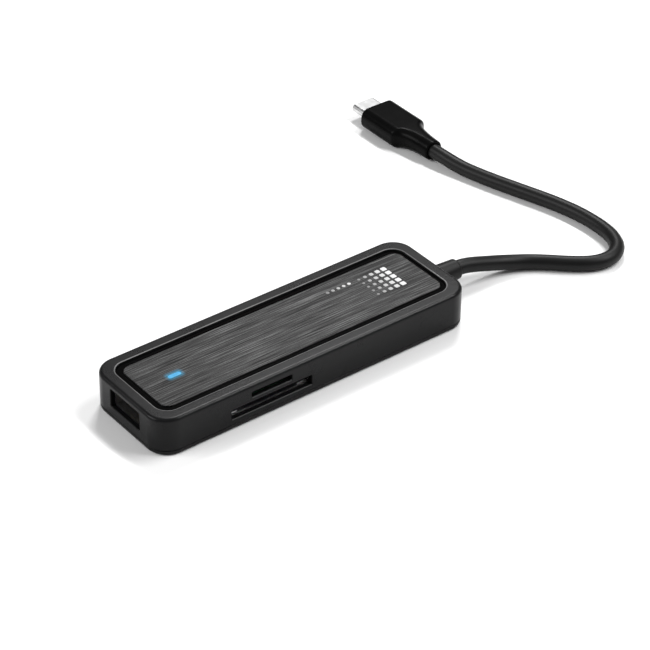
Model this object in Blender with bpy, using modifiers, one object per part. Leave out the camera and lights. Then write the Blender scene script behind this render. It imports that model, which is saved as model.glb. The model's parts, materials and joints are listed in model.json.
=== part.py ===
"""A slim USB hub: a rounded black case with a brushed top panel, card slots, USB ports and a short captive cable.

+X runs along the case towards the cable, +Y towards the hidden long side, and +Z up. The origin is the middle
of the case's underside. Everything is in metres.
"""

import math

import bmesh
import bpy
from mathutils import Matrix, Vector

MM = 0.001
GAP = 0.1 * MM

# Case
LENGTH = 98.0 * MM
WIDTH = 30.8 * MM
HEIGHT = 11.0 * MM
CORNER = 6.0 * MM
EDGE_ROUND = 1.0 * MM
WALL = 1.3 * MM
RIM = 3.46 * MM
RECESS_CORNER = 4.0 * MM
RECESS_CHAMFER = 0.14 * MM
DECK_LOW = 9.55 * MM
DECK_TOP = 10.0 * MM
BASE_TOP = 1.35 * MM
SEAM = 0.15 * MM
BASE_ROUND = 0.8 * MM
LIP_TOP = 2.7 * MM
LIP_WALL = 0.9 * MM

# Trim on the deck
BAND = 1.91 * MM
CABLE_END_BAND = 1.25 * MM
BEZEL_TOP = 10.4 * MM
PANEL_TOP = 10.71 * MM
PANEL_CORNER = 2.6 * MM
LIGHT_X = -34.0 * MM
LIGHT_SIZE = (3.8 * MM, 1.35 * MM)

# Circuit board and what holds it
BOARD_LOW = 6.0 * MM
BOARD_TOP = 7.0 * MM
BOARD_CLEARANCE = 0.5 * MM
BOSS_X = 40.8 * MM
BOSS_Y = 10.3 * MM
BOSS_RADIUS = 1.8 * MM
SCREW_RADIUS = 0.8 * MM
SCREW_HEAD_RADIUS = 1.5 * MM

# Ports
USB_A = (13.1 * MM, 13.0 * MM, 5.7 * MM)
USB_A_Z = 6.6 * MM
USB_A_WINDOW = (12.6 * MM, 5.4 * MM)
USB_A_SIDE_X = 9.0 * MM
USB_C = (8.94 * MM, 7.3 * MM, 3.2 * MM)
USB_C_Z = 6.5 * MM
USB_C_X = 29.0 * MM
SHEET = 0.3 * MM
THIN_SHEET = 0.2 * MM
CARD_X = -15.3 * MM
SD_WINDOW = (24.8 * MM, 3.1 * MM, 5.9 * MM)
MICROSD_WINDOW = (12.4 * MM, 7.2 * MM, 8.8 * MM)
SD_SOCKET_DEPTH = 25.0 * MM
MICROSD_SOCKET_DEPTH = 17.2 * MM
SLIDER_TRAVEL = 4.0 * MM

# Cable and plug
CABLE_RADIUS = 2.1 * MM
CABLE_Z = 5.5 * MM
RELIEF_END = 57.0 * MM
RELIEF_RADIUS = 2.85 * MM
RELIEF_ROOT_RADIUS = 3.2 * MM
PLUG_X = 92.6 * MM
PLUG_BOOT_Y = 52.5 * MM
PLUG_Z = 3.27 * MM
PLUG_FRONT_Y = 78.5 * MM
ROUTE_MM = [
    (57.3, 0.0, 5.5),
    (59.5, -0.1, 5.35),
    (62.6, -0.6, 4.85),
    (66.2, -1.3, 4.05),
    (70.2, -2.2, 3.2),
    (74.0, -3.5, 2.55),
    (77.3, -5.1, 2.2),
    (80.2, -7.2, 2.12),
    (82.8, -9.5, 2.12),
    (85.4, -11.9, 2.12),
    (88.2, -14.2, 2.12),
    (91.4, -16.2, 2.12),
    (95.0, -17.2, 2.12),
    (98.8, -16.7, 2.12),
    (102.2, -14.1, 2.12),
    (104.3, -9.8, 2.12),
    (105.1, -5.0, 2.12),
    (105.1, 0.0, 2.12),
    (104.7, 4.4, 2.12),
    (103.9, 8.6, 2.12),
    (102.9, 12.6, 2.12),
    (101.7, 16.6, 2.12),
    (100.4, 20.6, 2.12),
    (99.1, 24.6, 2.12),
    (97.8, 28.6, 2.12),
    (96.6, 32.6, 2.12),
    (95.5, 36.6, 2.12),
    (94.5, 40.6, 2.2),
    (93.6, 44.4, 2.6),
    (92.9, 48.2, 3.1),
    (92.6, 52.2, 3.27),
]

BLACK_PLASTIC = ("black_plastic", (0.035, 0.035, 0.037), 0.55, 0.0)
GLOSS_BLACK = ("gloss_black", (0.004, 0.004, 0.004), 0.12, 0.0)
DARK_ALUMINIUM = ("dark_aluminium", (0.10, 0.10, 0.10), 0.4, 1.0)
BLUE_LIGHT = ("blue_light", (0.10, 0.45, 0.95), 0.3, 0.0)
LED_WHITE = ("led_white", (0.8, 0.8, 0.7), 0.4, 0.0)
BOARD_GREEN = ("board_green", (0.01, 0.09, 0.04), 0.4, 0.0)
STEEL = ("steel", (0.55, 0.55, 0.56), 0.3, 1.0)
BLACK_NYLON = ("black_nylon", (0.02, 0.02, 0.02), 0.5, 0.0)
IVORY_NYLON = ("ivory_nylon", (0.55, 0.52, 0.42), 0.5, 0.0)
CHIP_BLACK = ("chip_black", (0.02, 0.02, 0.022), 0.45, 0.0)
FERRITE = ("ferrite", (0.06, 0.06, 0.065), 0.6, 0.0)
TANTALUM = ("tantalum", (0.55, 0.30, 0.05), 0.45, 0.0)
CABLE_BLACK = ("cable_black", (0.02, 0.02, 0.021), 0.5, 0.0)
WIRE_COLOURS = (
    ("wire_red", (0.45, 0.02, 0.02), 0.45, 0.0),
    ("wire_black", (0.02, 0.02, 0.02), 0.45, 0.0),
    ("wire_green", (0.02, 0.25, 0.06), 0.45, 0.0),
    ("wire_white", (0.6, 0.6, 0.58), 0.45, 0.0),
)


def clear_scene():
    for obj in list(bpy.data.objects):
        bpy.data.objects.remove(obj)


def new_collection(name):
    collection = bpy.data.collections.new(name)
    bpy.context.scene.collection.children.link(collection)
    return collection


clear_scene()
PARTS = new_collection("usb_hub")
CUTTERS = new_collection("cutters")


def material(spec):
    name, colour, roughness, metallic = spec
    found = bpy.data.materials.get(name)
    if found:
        return found
    made = bpy.data.materials.new(name)
    made.use_nodes = True
    shader = made.node_tree.nodes["Principled BSDF"]
    shader.inputs["Base Color"].default_value = (*colour, 1.0)
    shader.inputs["Roughness"].default_value = roughness
    shader.inputs["Metallic"].default_value = metallic
    return made


def add_object(name, data, spec=None, place=None):
    """Links data as a part where spec gives its finish, or else as a helper that only cuts or joins."""
    obj = bpy.data.objects.new(name, data)
    if spec:
        PARTS.objects.link(obj)
        data.materials.append(material(spec))
    else:
        CUTTERS.objects.link(obj)
        obj.hide_render = True
        obj.display_type = "WIRE"
    if place:
        obj.parent = place
    return obj


def mesh_from(bm, name, smooth_angle=35.0):
    bmesh.ops.recalc_face_normals(bm, faces=bm.faces)
    mesh = bpy.data.meshes.new(name)
    bm.to_mesh(mesh)
    bm.free()
    mesh.shade_smooth()
    mesh.set_sharp_from_angle(angle=math.radians(smooth_angle))
    return mesh


def bevel_edges(bm, chosen, offset, segments):
    if offset > 0:
        bmesh.ops.bevel(bm, geom=chosen, offset=offset, segments=segments, profile=0.5, affect="EDGES")


def upright(edge):
    a, b = (vert.co for vert in edge.verts)
    return abs(a.x - b.x) < 1e-7 and abs(a.y - b.y) < 1e-7


def level(edge, height):
    return all(abs(vert.co.z - height) < 1e-7 for vert in edge.verts)


def block(name, low, high, spec=None, axis="Z", corner=0.0, steps=6, top=0.0, bottom=0.0, edge_steps=3, place=None):
    """A box from low to high. Its edges along axis are rounded to corner, and its two ends' edges to top and bottom."""
    size = Vector(high) - Vector(low)
    turn = Matrix.Identity(3)
    if axis == "X":
        turn = Matrix.Rotation(math.radians(90), 3, "Y")
        size = Vector((size.z, size.y, size.x))
    if axis == "Y":
        turn = Matrix.Rotation(math.radians(-90), 3, "X")
        size = Vector((size.x, size.z, size.y))
    bm = bmesh.new()
    bmesh.ops.create_cube(bm, size=1.0)
    bmesh.ops.scale(bm, vec=size, verts=bm.verts)
    bevel_edges(bm, [edge for edge in bm.edges if upright(edge)], corner, steps)
    for offset, height in ((top, size.z / 2), (bottom, -size.z / 2)):
        ends = [edge for edge in bm.edges if level(edge, height)]
        bevel_edges(bm, ends, offset, edge_steps)
    obj = add_object(name, mesh_from(bm, name), spec, place)
    obj.location = (Vector(low) + Vector(high)) / 2
    obj.rotation_euler = turn.to_euler()
    return obj


def cylinder(name, base, height, radius, spec=None, sides=24, axis="Z"):
    """A cylinder that stands on base and runs along axis."""
    bm = bmesh.new()
    bmesh.ops.create_cone(bm, cap_ends=True, segments=sides, radius1=radius, radius2=radius, depth=height)
    bmesh.ops.translate(bm, vec=(0, 0, height / 2), verts=bm.verts)
    obj = add_object(name, mesh_from(bm, name), spec)
    obj.location = base
    if axis == "X":
        obj.rotation_euler = (0, math.radians(90), 0)
    return obj


def turned(name, profile, spec, sides=24):
    """A solid turned about its local Z from (radius, height) points that run down its outer side."""
    mesh = bpy.data.meshes.new(name)
    points = [(radius, 0, height) for radius, height in profile]
    edges = [(i, i + 1) for i in range(len(points) - 1)]
    mesh.from_pydata(points, edges, [])
    obj = add_object(name, mesh, spec)
    screw = obj.modifiers.new("turn", "SCREW")
    screw.steps = sides
    screw.render_steps = sides
    screw.use_merge_vertices = True
    screw.merge_threshold = 1e-6
    return obj


def boolean(obj, operation, other):
    modifier = obj.modifiers.new(operation.lower(), "BOOLEAN")
    modifier.operation = operation
    modifier.object = other
    modifier.solver = "EXACT"


def cut(obj, *others):
    for other in others:
        boolean(obj, "DIFFERENCE", other)


def join(obj, *others):
    for other in others:
        boolean(obj, "UNION", other)


def tube(name, points, radius, spec, resolution=2):
    """A round tube with filled ends along points."""
    data = bpy.data.curves.new(name, "CURVE")
    data.dimensions = "3D"
    data.bevel_depth = radius
    data.bevel_resolution = resolution
    data.use_fill_caps = True
    spline = data.splines.new("POLY")
    spline.points.add(len(points) - 1)
    for point, where in zip(spline.points, points):
        point.co = (*where, 1.0)
    return add_object(name, data, spec)


def smooth_line(route, per_span=2):
    """Points on a smooth curve through the route's points."""
    knots = [2 * route[0] - route[1], *route, 2 * route[-1] - route[-2]]
    line = []
    for before, start, end, after in zip(knots, knots[1:], knots[2:], knots[3:]):
        for step in range(per_span):
            t = step / per_span
            line.append(
                0.5
                * (
                    2 * start
                    + (end - before) * t
                    + (2 * before - 5 * start + 4 * end - after) * t**2
                    + (3 * start - before - 3 * end + after) * t**3
                )
            )
    return [*line, route[-1]]


def sunk(inset, low, high, **more):
    """low and high corners of the case's outline, drawn in by inset."""
    x, y = LENGTH / 2 - inset, WIDTH / 2 - inset
    return dict(low=(-x, -y, low), high=(x, y, high), **more)


def mount_points():
    return [(x, y) for x in (-BOSS_X, BOSS_X) for y in (-BOSS_Y, BOSS_Y)]


def clip_boxes(tag, reach, half_height):
    """Boxes for the base's four catches, or for their pockets in the case's long walls."""
    boxes = []
    wall = WIDTH / 2 - WALL
    middle = 2.2 * MM
    for x in (-36.5 * MM, 19.5 * MM):
        for side in (-1, 1):
            ends = sorted((side * (wall - 0.35 * MM), side * (wall + reach)))
            low = (x - 3 * MM, ends[0], middle - half_height)
            high = (x + 3 * MM, ends[1], middle + half_height)
            boxes.append(block(f"{tag}_{len(boxes) + 1}", low, high))
    return boxes


def light_window(name, margin, low, high, spec=None):
    length, width = (size + 2 * margin for size in LIGHT_SIZE)
    corners = dict(low=(LIGHT_X - length / 2, -width / 2, low), high=(LIGHT_X + length / 2, width / 2, high))
    return block(name, spec=spec, corner=width * 0.42, steps=4, **corners)


def make_housing():
    housing = block(
        "housing", spec=BLACK_PLASTIC, corner=CORNER, steps=10, top=EDGE_ROUND, edge_steps=4,
        **sunk(0, BASE_TOP + SEAM, HEIGHT),
    )  # fmt: skip
    cavity = block("cavity", corner=CORNER - WALL, steps=8, **sunk(WALL, -MM, DECK_LOW))
    recess = block("recess", corner=RECESS_CORNER, steps=8, **sunk(RIM, DECK_TOP, HEIGHT + MM))
    chamfer = block(
        "recess_chamfer", corner=RECESS_CORNER + RECESS_CHAMFER, steps=8, bottom=RECESS_CHAMFER, edge_steps=1,
        **sunk(RIM - RECESS_CHAMFER, HEIGHT - RECESS_CHAMFER, HEIGHT + MM),
    )  # fmt: skip
    outlet = cylinder("outlet", (LENGTH / 2 - 5 * MM, 0, CABLE_Z), 10 * MM, RELIEF_ROOT_RADIUS + 0.15 * MM, axis="X")
    cut(housing, cavity, recess, chamfer, light_window("deck_light_hole", GAP, DECK_LOW - MM, DECK_TOP + MM), outlet)
    cut(housing, *port_windows(), *card_windows(), *clip_boxes("catch_pocket", 0.3 * MM, 0.4 * MM))


def port_windows():
    """Cutters for the USB openings in the front and hidden long walls."""
    wide, high = USB_A_WINDOW
    end, side = LENGTH / 2, WIDTH / 2
    front = block(
        "front_window", (-end - MM, -wide / 2, USB_A_Z - high / 2), (-end + 2 * MM, wide / 2, USB_A_Z + high / 2),
        axis="X", corner=0.5 * MM, steps=3,
    )  # fmt: skip
    x = USB_A_SIDE_X
    back = block(
        "side_window", (x - wide / 2, side - 2 * MM, USB_A_Z - high / 2), (x + wide / 2, side + MM, USB_A_Z + high / 2),
        axis="Y", corner=0.5 * MM, steps=3,
    )  # fmt: skip
    half, thick = USB_C[0] / 2 + 0.1 * MM, USB_C[2] / 2 + 0.1 * MM
    small = block(
        "usb_c_window", (USB_C_X - half, side - 2 * MM, USB_C_Z - thick), (USB_C_X + half, side + MM, USB_C_Z + thick),
        axis="Y", corner=1.6 * MM, steps=5,
    )  # fmt: skip
    return [front, back, small]


def card_windows():
    """Cutters for the two card slots in the near long wall."""
    windows = []
    for name, (wide, low, high) in (("sd_window", SD_WINDOW), ("microsd_window", MICROSD_WINDOW)):
        near = (CARD_X - wide / 2, -WIDTH / 2 - MM, low)
        far = (CARD_X + wide / 2, -WIDTH / 2 + 2 * MM, high)
        windows.append(block(name, near, far, axis="Y", corner=0.15 * MM, steps=2))
    return windows


def make_base_cover():
    base = block(
        "base_cover", spec=BLACK_PLASTIC, corner=CORNER, steps=10, bottom=BASE_ROUND, edge_steps=3,
        **sunk(0, 0, BASE_TOP),
    )  # fmt: skip
    inset = WALL + 0.15 * MM
    lip = block("lip", corner=CORNER - inset, steps=8, **sunk(inset, BASE_TOP - 0.5 * MM, LIP_TOP))
    join(base, lip)
    inner = block("lip_inside", corner=CORNER - inset - LIP_WALL, steps=8, **sunk(inset + LIP_WALL, BASE_TOP, HEIGHT))
    end = LENGTH / 2
    relief_gap = block("lip_gap", (end - 5 * MM, -4.6 * MM, BASE_TOP), (end - 1.2 * MM, 4.6 * MM, 4 * MM))
    cut(base, inner, relief_gap)
    join(base, *clip_boxes("catch", 0.1 * MM, 0.25 * MM))
    for number, (x, y) in enumerate(mount_points(), 1):
        boss_base = BASE_TOP - 0.5 * MM
        boss = cylinder(f"boss_{number}", (x, y, boss_base), BOARD_LOW - GAP - boss_base, BOSS_RADIUS, sides=20)
        pilot = cylinder(f"pilot_{number}", (x, y, 2 * MM), 6 * MM, SCREW_RADIUS + 0.05 * MM, sides=12)
        join(base, boss)
        cut(base, pilot)


def panel_box(margin, low, high):
    """low and high corners of the top panel, let out by margin. The band round it is narrower at the cable's end."""
    x, y = LENGTH / 2 - RIM + margin, WIDTH / 2 - RIM - BAND + margin
    return dict(low=(BAND - x, -y, low), high=(x - CABLE_END_BAND, y, high))


def make_trim():
    """The gloss band in the recess, the brushed panel inside it and the window that the light shows through."""
    bezel = block(
        "bezel_ring", spec=GLOSS_BLACK, corner=RECESS_CORNER - GAP, steps=8,
        **sunk(RIM + GAP, DECK_TOP + GAP / 2, BEZEL_TOP),
    )  # fmt: skip
    opening = block("bezel_opening", corner=PANEL_CORNER + GAP, steps=6, **panel_box(GAP, DECK_TOP - MM, HEIGHT + MM))
    cut(bezel, opening)
    panel = block(
        "top_panel", spec=DARK_ALUMINIUM, corner=PANEL_CORNER, steps=6, top=0.12 * MM, edge_steps=1,
        **panel_box(0, DECK_TOP + GAP / 2, PANEL_TOP),
    )  # fmt: skip
    cut(panel, light_window("panel_light_hole", 0.05 * MM, DECK_TOP - MM, HEIGHT + MM))
    pipe = light_window("light_pipe", -0.05 * MM, DECK_LOW + 0.05 * MM, PANEL_TOP, spec=BLUE_LIGHT)
    leg = block("light_leg", (-34.1 * MM, -0.6 * MM, 7.8 * MM), (-32.3 * MM, 0.6 * MM, 9.8 * MM))
    join(pipe, leg)
    block("status_led", (-34.0 * MM, -0.4 * MM, BOARD_TOP + GAP), (-32.4 * MM, 0.4 * MM, 7.65 * MM), LED_WHITE)


def make_board():
    edge = WALL + BOARD_CLEARANCE
    board = block("main_pcb", spec=BOARD_GREEN, corner=CORNER - edge, steps=5, **sunk(edge, BOARD_LOW, BOARD_TOP))
    half_port = USB_A[0] / 2 + 0.3 * MM
    side = WIDTH / 2
    below, above = BOARD_LOW - MM, BOARD_TOP + MM
    front = block("front_notch", (-LENGTH / 2, -half_port, below), (-34.2 * MM, half_port, above))
    x = USB_A_SIDE_X
    back = block("side_notch", (x - half_port, side - WALL - USB_A[1] - 0.4 * MM, below), (x + half_port, side, above))
    half_c = USB_C[0] / 2 + 0.3 * MM
    small = block("usb_c_notch", (USB_C_X - half_c, side - WALL - 7.7 * MM, below), (USB_C_X + half_c, side, above))
    cable = block("cable_notch", (38.5 * MM, -4.7 * MM, below), (LENGTH / 2, 4.7 * MM, above))
    cut(board, front, back, small, cable)
    for number, (x, y) in enumerate(mount_points(), 1):
        cut(board, cylinder(f"board_hole_{number}", (x, y, below), 3 * MM, 1.0 * MM, sides=16))
        make_screw(number, x, y)


def make_screw(number, x, y):
    head_low = BOARD_TOP + GAP
    head_top = head_low + 0.9 * MM
    profile = [
        (0, head_top - 0.4 * MM),
        (0.45 * MM, head_top - 0.4 * MM),
        (0.6 * MM, head_top),
        (SCREW_HEAD_RADIUS * 0.8, head_top),
        (SCREW_HEAD_RADIUS, head_top - 0.3 * MM),
        (SCREW_HEAD_RADIUS, head_low),
        (SCREW_RADIUS, head_low),
        (SCREW_RADIUS, head_low - 4.3 * MM),
        (0.3 * MM, head_low - 4.8 * MM),
        (0, head_low - 4.8 * MM),
    ]
    screw = turned(f"pcb_screw_{number}", profile, STEEL, sides=12)
    screw.location = (x, y, 0)


def port_place(name, x, y, z, turn):
    """An empty at a port's mouth. Its -Y points out of the mouth."""
    place = bpy.data.objects.new(name, None)
    PARTS.objects.link(place)
    place.location = (x, y, z)
    place.rotation_euler = (0, 0, math.radians(turn))
    return place


def make_usb_a(name, place):
    """A receptacle: a sheet-metal shell, and a nylon block whose tongue carries the contacts."""
    wide, deep, high = USB_A
    near = (-wide / 2, 0, -high / 2)
    far = (wide / 2, deep, high / 2)
    shell = block(f"{name}_shell", near, far, STEEL, axis="Y", corner=0.6 * MM, steps=3, place=place)
    near = (-wide / 2 + SHEET, -MM, -high / 2 + SHEET)
    far = (wide / 2 - SHEET, deep - SHEET, high / 2 - SHEET)
    cut(shell, block(f"{name}_inside", near, far, axis="Y", corner=0.3 * MM, steps=2, place=place))
    edge = SHEET + GAP
    near = (-wide / 2 + edge, deep - 3 * MM, -high / 2 + edge)
    far = (wide / 2 - edge, deep - edge, high / 2 - edge)
    tongue = block(f"{name}_tongue", near, far, BLACK_NYLON, place=place)
    near = (-5.55 * MM, 1.2 * MM, 0.1 * MM)
    far = (5.55 * MM, deep - 2.5 * MM, 1.94 * MM)
    join(tongue, block(f"{name}_blade", near, far, place=place))


def make_usb_c(name, place):
    wide, deep, high = USB_C
    near = (-wide / 2, 0, -high / 2)
    far = (wide / 2, deep, high / 2)
    shell = block(f"{name}_shell", near, far, STEEL, axis="Y", corner=1.55 * MM, steps=5, place=place)
    near = (-wide / 2 + SHEET, -MM, -high / 2 + SHEET)
    far = (wide / 2 - SHEET, deep - SHEET, high / 2 - SHEET)
    cut(shell, block(f"{name}_inside", near, far, axis="Y", corner=1.27 * MM, steps=5, place=place))
    edge = SHEET + GAP
    near = (-wide / 2 + edge, deep - 2 * MM, -high / 2 + edge)
    far = (wide / 2 - edge, deep - edge, high / 2 - edge)
    tongue = block(f"{name}_tongue", near, far, BLACK_NYLON, axis="Y", corner=1.15 * MM, steps=4, place=place)
    near = (-3.35 * MM, 0.9 * MM, -0.35 * MM)
    far = (3.35 * MM, deep - 1.5 * MM, 0.35 * MM)
    join(tongue, block(f"{name}_blade", near, far, place=place))


def make_ports():
    inner_end, inner_side = LENGTH / 2 - WALL, WIDTH / 2 - WALL
    make_usb_a("usb_a_front", port_place("front_port", -inner_end + 0.15 * MM, 0, USB_A_Z, -90))
    make_usb_a("usb_a_side", port_place("side_port", USB_A_SIDE_X, inner_side - 0.15 * MM, USB_A_Z, 180))
    make_usb_c("usb_c_side", port_place("usb_c_port", USB_C_X, inner_side - 0.15 * MM, USB_C_Z, 180))


def card_box(wide, near, far, low, high):
    """Corners of a box centred on the card slots, from near to far behind the near wall's inner face."""
    mouth = -WIDTH / 2 + WALL + 0.15 * MM
    return (CARD_X - wide / 2, mouth + near, low), (CARD_X + wide / 2, mouth + far, high)


def make_sd_socket():
    """The full-size socket hangs under the board: its sheet cover is below, and its nylon frame is above."""
    low, top, deep = 3.0 * MM, BOARD_LOW - GAP, SD_SOCKET_DEPTH
    cover = block("sd_socket_shell", *card_box(27.2 * MM, 0, deep, low, top - GAP), STEEL)
    cut(cover, block("sd_cover_inside", *card_box(26.8 * MM, -MM, deep + MM, low + THIN_SHEET, HEIGHT)))
    for number, x in enumerate((-6 * MM, 6 * MM), 1):
        near, far = card_box(3 * MM, 6 * MM, 18 * MM, 0, low + MM)
        shift = Vector((x, 0, 0))
        cut(cover, block(f"sd_cover_slot_{number}", Vector(near) + shift, Vector(far) + shift))
    frame = block("sd_socket_body", *card_box(26.6 * MM, 0.1 * MM, deep - 0.1 * MM, low + 0.3 * MM, top), BLACK_NYLON)
    cut(frame, block("sd_card_space", *card_box(24.4 * MM, -MM, deep - 1.5 * MM, 0, 5.5 * MM)))


def make_microsd_socket():
    """The small socket stands on the board: a nylon tray, a sheet cover, and a sprung slider at its side."""
    low, top, deep = BOARD_TOP + GAP, 8.95 * MM, MICROSD_SOCKET_DEPTH
    cover = block("microsd_socket_shell", *card_box(15.8 * MM, 0, deep, low, top), STEEL)
    cut(cover, block("microsd_cover_inside", *card_box(15.4 * MM, -MM, deep + MM, 0, top - THIN_SHEET)))
    tray = block("microsd_socket_body", *card_box(15.2 * MM, 0.1 * MM, deep - 0.1 * MM, low, 8.65 * MM), BLACK_NYLON)
    space_low, space_high = card_box(0, -MM, deep - 0.7 * MM, 7.35 * MM, HEIGHT)
    left, right = CARD_X - 7.2 * MM, CARD_X + 5.9 * MM
    cut(tray, block("microsd_card_space", (left, *space_low[1:]), (right, *space_high[1:])))
    make_slider(left + 0.12 * MM)


def make_slider(left):
    """The slider's arm runs beside the card, and its hook meets the card's leading corner."""
    slider = block(
        "microsd_slider", (left, -11.5 * MM, 7.5 * MM), (left + 1.0 * MM, -5.0 * MM, 8.5 * MM), IVORY_NYLON
    )
    hook = block("slider_hook", (left, -6.0 * MM, 7.5 * MM), (left + 3.3 * MM, -5.0 * MM, 8.5 * MM))
    join(slider, hook)
    turns, per_turn, radius = 9, 10, 0.36 * MM
    start, length = -4.75 * MM, 7.15 * MM
    points = []
    for step in range(turns * per_turn + 1):
        angle = 2 * math.pi * step / per_turn
        along = start + length * step / (turns * per_turn)
        points.append((left + 0.5 * MM + radius * math.cos(angle), along, 8.0 * MM + radius * math.sin(angle)))
    tube("microsd_spring", points, 0.08 * MM, STEEL)


def make_components():
    """Packages soldered to the board: name, centre, size, height, finish, and which face they stand on."""
    packages = (
        ("hub_controller", (22.0, -5.6), (9.0, 9.0), 0.85, CHIP_BLACK),
        ("card_reader_controller", (-2.4, -6.5), (6.0, 6.0), 0.85, CHIP_BLACK),
        ("voltage_regulator", (-2.8, 6.0), (3.0, 3.0), 0.9, CHIP_BLACK),
        ("inductor", (-27.6, 0.0), (4.2, 4.2), 2.0, FERRITE),
        ("capacitor_1", (-28.0, 8.6), (3.5, 2.8), 1.9, TANTALUM),
        ("capacitor_2", (20.0, 10.2), (3.5, 2.8), 1.9, TANTALUM),
        ("crystal", (11.5, -7.0), (3.2, 2.5), 0.8, STEEL),
    )
    for name, (x, y), (wide, deep), high, spec in packages:
        low = Vector((x - wide / 2, y - deep / 2, 0)) * MM
        far = Vector((x + wide / 2, y + deep / 2, high)) * MM
        rest = Vector((0, 0, BOARD_TOP + GAP))
        block(name, low + rest, far + rest, spec, corner=0.15 * MM, steps=2, top=0.1 * MM, edge_steps=1)


def make_cable_end():
    """The sleeve trapped in the case's end wall, and the cable's tail and wires inside the case."""
    inner = LENGTH / 2 - WALL - 0.15 * MM
    profile = [
        (0, RELIEF_END),
        (RELIEF_RADIUS - 0.5 * MM, RELIEF_END),
        (RELIEF_RADIUS - 0.15 * MM, RELIEF_END - 0.15 * MM),
        (RELIEF_RADIUS, RELIEF_END - 0.5 * MM),
        (RELIEF_ROOT_RADIUS, LENGTH / 2 + 0.3 * MM),
        (RELIEF_ROOT_RADIUS, inner),
        (3.95 * MM, inner),
        (3.95 * MM, inner - 1.35 * MM),
        (0, inner - 1.35 * MM),
    ]
    relief = turned("strain_relief", profile, CABLE_BLACK, sides=28)
    relief.location = (0, 0, CABLE_Z)
    relief.rotation_euler = (0, math.radians(90), 0)
    tail_end = 40.6 * MM
    tail_start = inner - 1.5 * MM
    cylinder("cable_tail", (tail_end, 0, CABLE_Z), tail_start - tail_end, CABLE_RADIUS, CABLE_BLACK, axis="X")
    for number, spec in enumerate(WIRE_COLOURS, 1):
        y = (number - 2.5) * 0.85
        route = [(40.45, y, 6.05), (39.9, y, 6.35), (39.3, y * 1.3, 7.1), (38.2, y * 1.6, 7.5), (35.5, y * 1.9, 7.5)]
        knots = [Vector(point) * MM for point in route]
        tube(f"wire_{number}", smooth_line(knots, 2), 0.35 * MM, spec)


def make_cable():
    line = smooth_line([Vector(point) * MM for point in ROUTE_MM])
    tube("cable", line, CABLE_RADIUS, CABLE_BLACK)


def rounded_ring(half_width, half_height, corner, along, per_corner=7):
    """Points round a rounded rectangle in the XZ plane, at along on Y."""
    points = []
    for quarter, (side, rise) in enumerate(((1, 1), (-1, 1), (-1, -1), (1, -1))):
        for step in range(per_corner):
            angle = math.radians(90) * (quarter + step / (per_corner - 1))
            x = side * (half_width - corner) + corner * math.cos(angle)
            z = rise * (half_height - corner) + corner * math.sin(angle)
            points.append(Vector((x, along, z)))
    return points


def loft(name, rings, spec):
    bm = bmesh.new()
    rows = [[bm.verts.new(point) for point in ring] for ring in rings]
    for row, following in zip(rows, rows[1:]):
        for i, vert in enumerate(row):
            j = (i + 1) % len(row)
            bm.faces.new((vert, row[j], following[j], following[i]))
    bm.faces.new(rows[0])
    bm.faces.new(rows[-1])
    bmesh.ops.remove_doubles(bm, verts=bm.verts, dist=1e-7)
    return add_object(name, mesh_from(bm, name), spec)


def make_plug():
    """The plug's moulded grip, its sheet-metal shell and the insert that holds its contacts."""
    boot, front = PLUG_BOOT_Y, PLUG_FRONT_Y
    sections = (
        (boot, 2.7, 2.7, 2.7),
        (boot + 0.3 * MM, 3.0, 3.0, 3.0),
        (boot + 4.5 * MM, 3.25, 3.1, 3.0),
        (boot + 7.2 * MM, 3.55, 3.18, 2.9),
        (boot + 9.2 * MM, 4.05, 3.22, 2.8),
        (boot + 10.6 * MM, 4.75, 3.24, 2.75),
        (boot + 11.4 * MM, 5.6, 3.25, 2.7),
        (boot + 11.9 * MM, 6.05, 3.25, 2.7),
        (boot + 12.6 * MM, 6.15, 3.25, 2.7),
        (front - 0.3 * MM, 6.15, 3.25, 2.7),
        (front, 5.9, 3.0, 2.45),
    )
    rings = [rounded_ring(wide * MM, high * MM, corner * MM, along) for along, wide, high, corner in sections]
    grip = loft("plug_overmould", rings, CABLE_BLACK)
    grip.location = (PLUG_X, 0, PLUG_Z)
    place = port_place("plug_mouth", PLUG_X, front, PLUG_Z, 0)
    root = -5.0 * MM
    near, far = (-4.12 * MM, root, -1.2 * MM), (4.12 * MM, 6.65 * MM, 1.2 * MM)
    shell = block("plug_shell", near, far, STEEL, axis="Y", corner=1.17 * MM, steps=5, place=place)
    near, far = (-4.22 * MM, root - GAP, -1.3 * MM), (4.22 * MM, MM, 1.3 * MM)
    cut(grip, block("plug_shell_pocket", near, far, axis="Y", corner=1.27 * MM, steps=5, place=place))
    near, far = (-3.87 * MM, root + 0.25 * MM, -0.95 * MM), (3.87 * MM, 8 * MM, 0.95 * MM)
    cut(shell, block("plug_shell_inside", near, far, axis="Y", corner=0.93 * MM, steps=5, place=place))
    near, far = (-3.75 * MM, root + 0.35 * MM, -0.84 * MM), (3.75 * MM, 6.3 * MM, 0.84 * MM)
    insert = block("plug_insert", near, far, BLACK_NYLON, axis="Y", corner=0.8 * MM, steps=4, place=place)
    near, far = (-3.45 * MM, 1.2 * MM, -0.42 * MM), (3.45 * MM, 8 * MM, 0.42 * MM)
    cut(insert, block("plug_slot", near, far, place=place))


make_housing()
make_base_cover()
make_trim()
make_board()
make_ports()
make_sd_socket()
make_microsd_socket()
make_components()
make_cable_end()
make_cable()
make_plug()
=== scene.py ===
"""The looks of a slim USB hub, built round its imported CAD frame.

The case lies along X with its cable at +X, its card slots in the near (-Y) wall and +Z up. Every piece is
made in place, in metres, from the boxes of the CAD nodes.
"""

import json
import math

import bmesh
import bpy
from mathutils import Matrix, Quaternion, Vector


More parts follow.
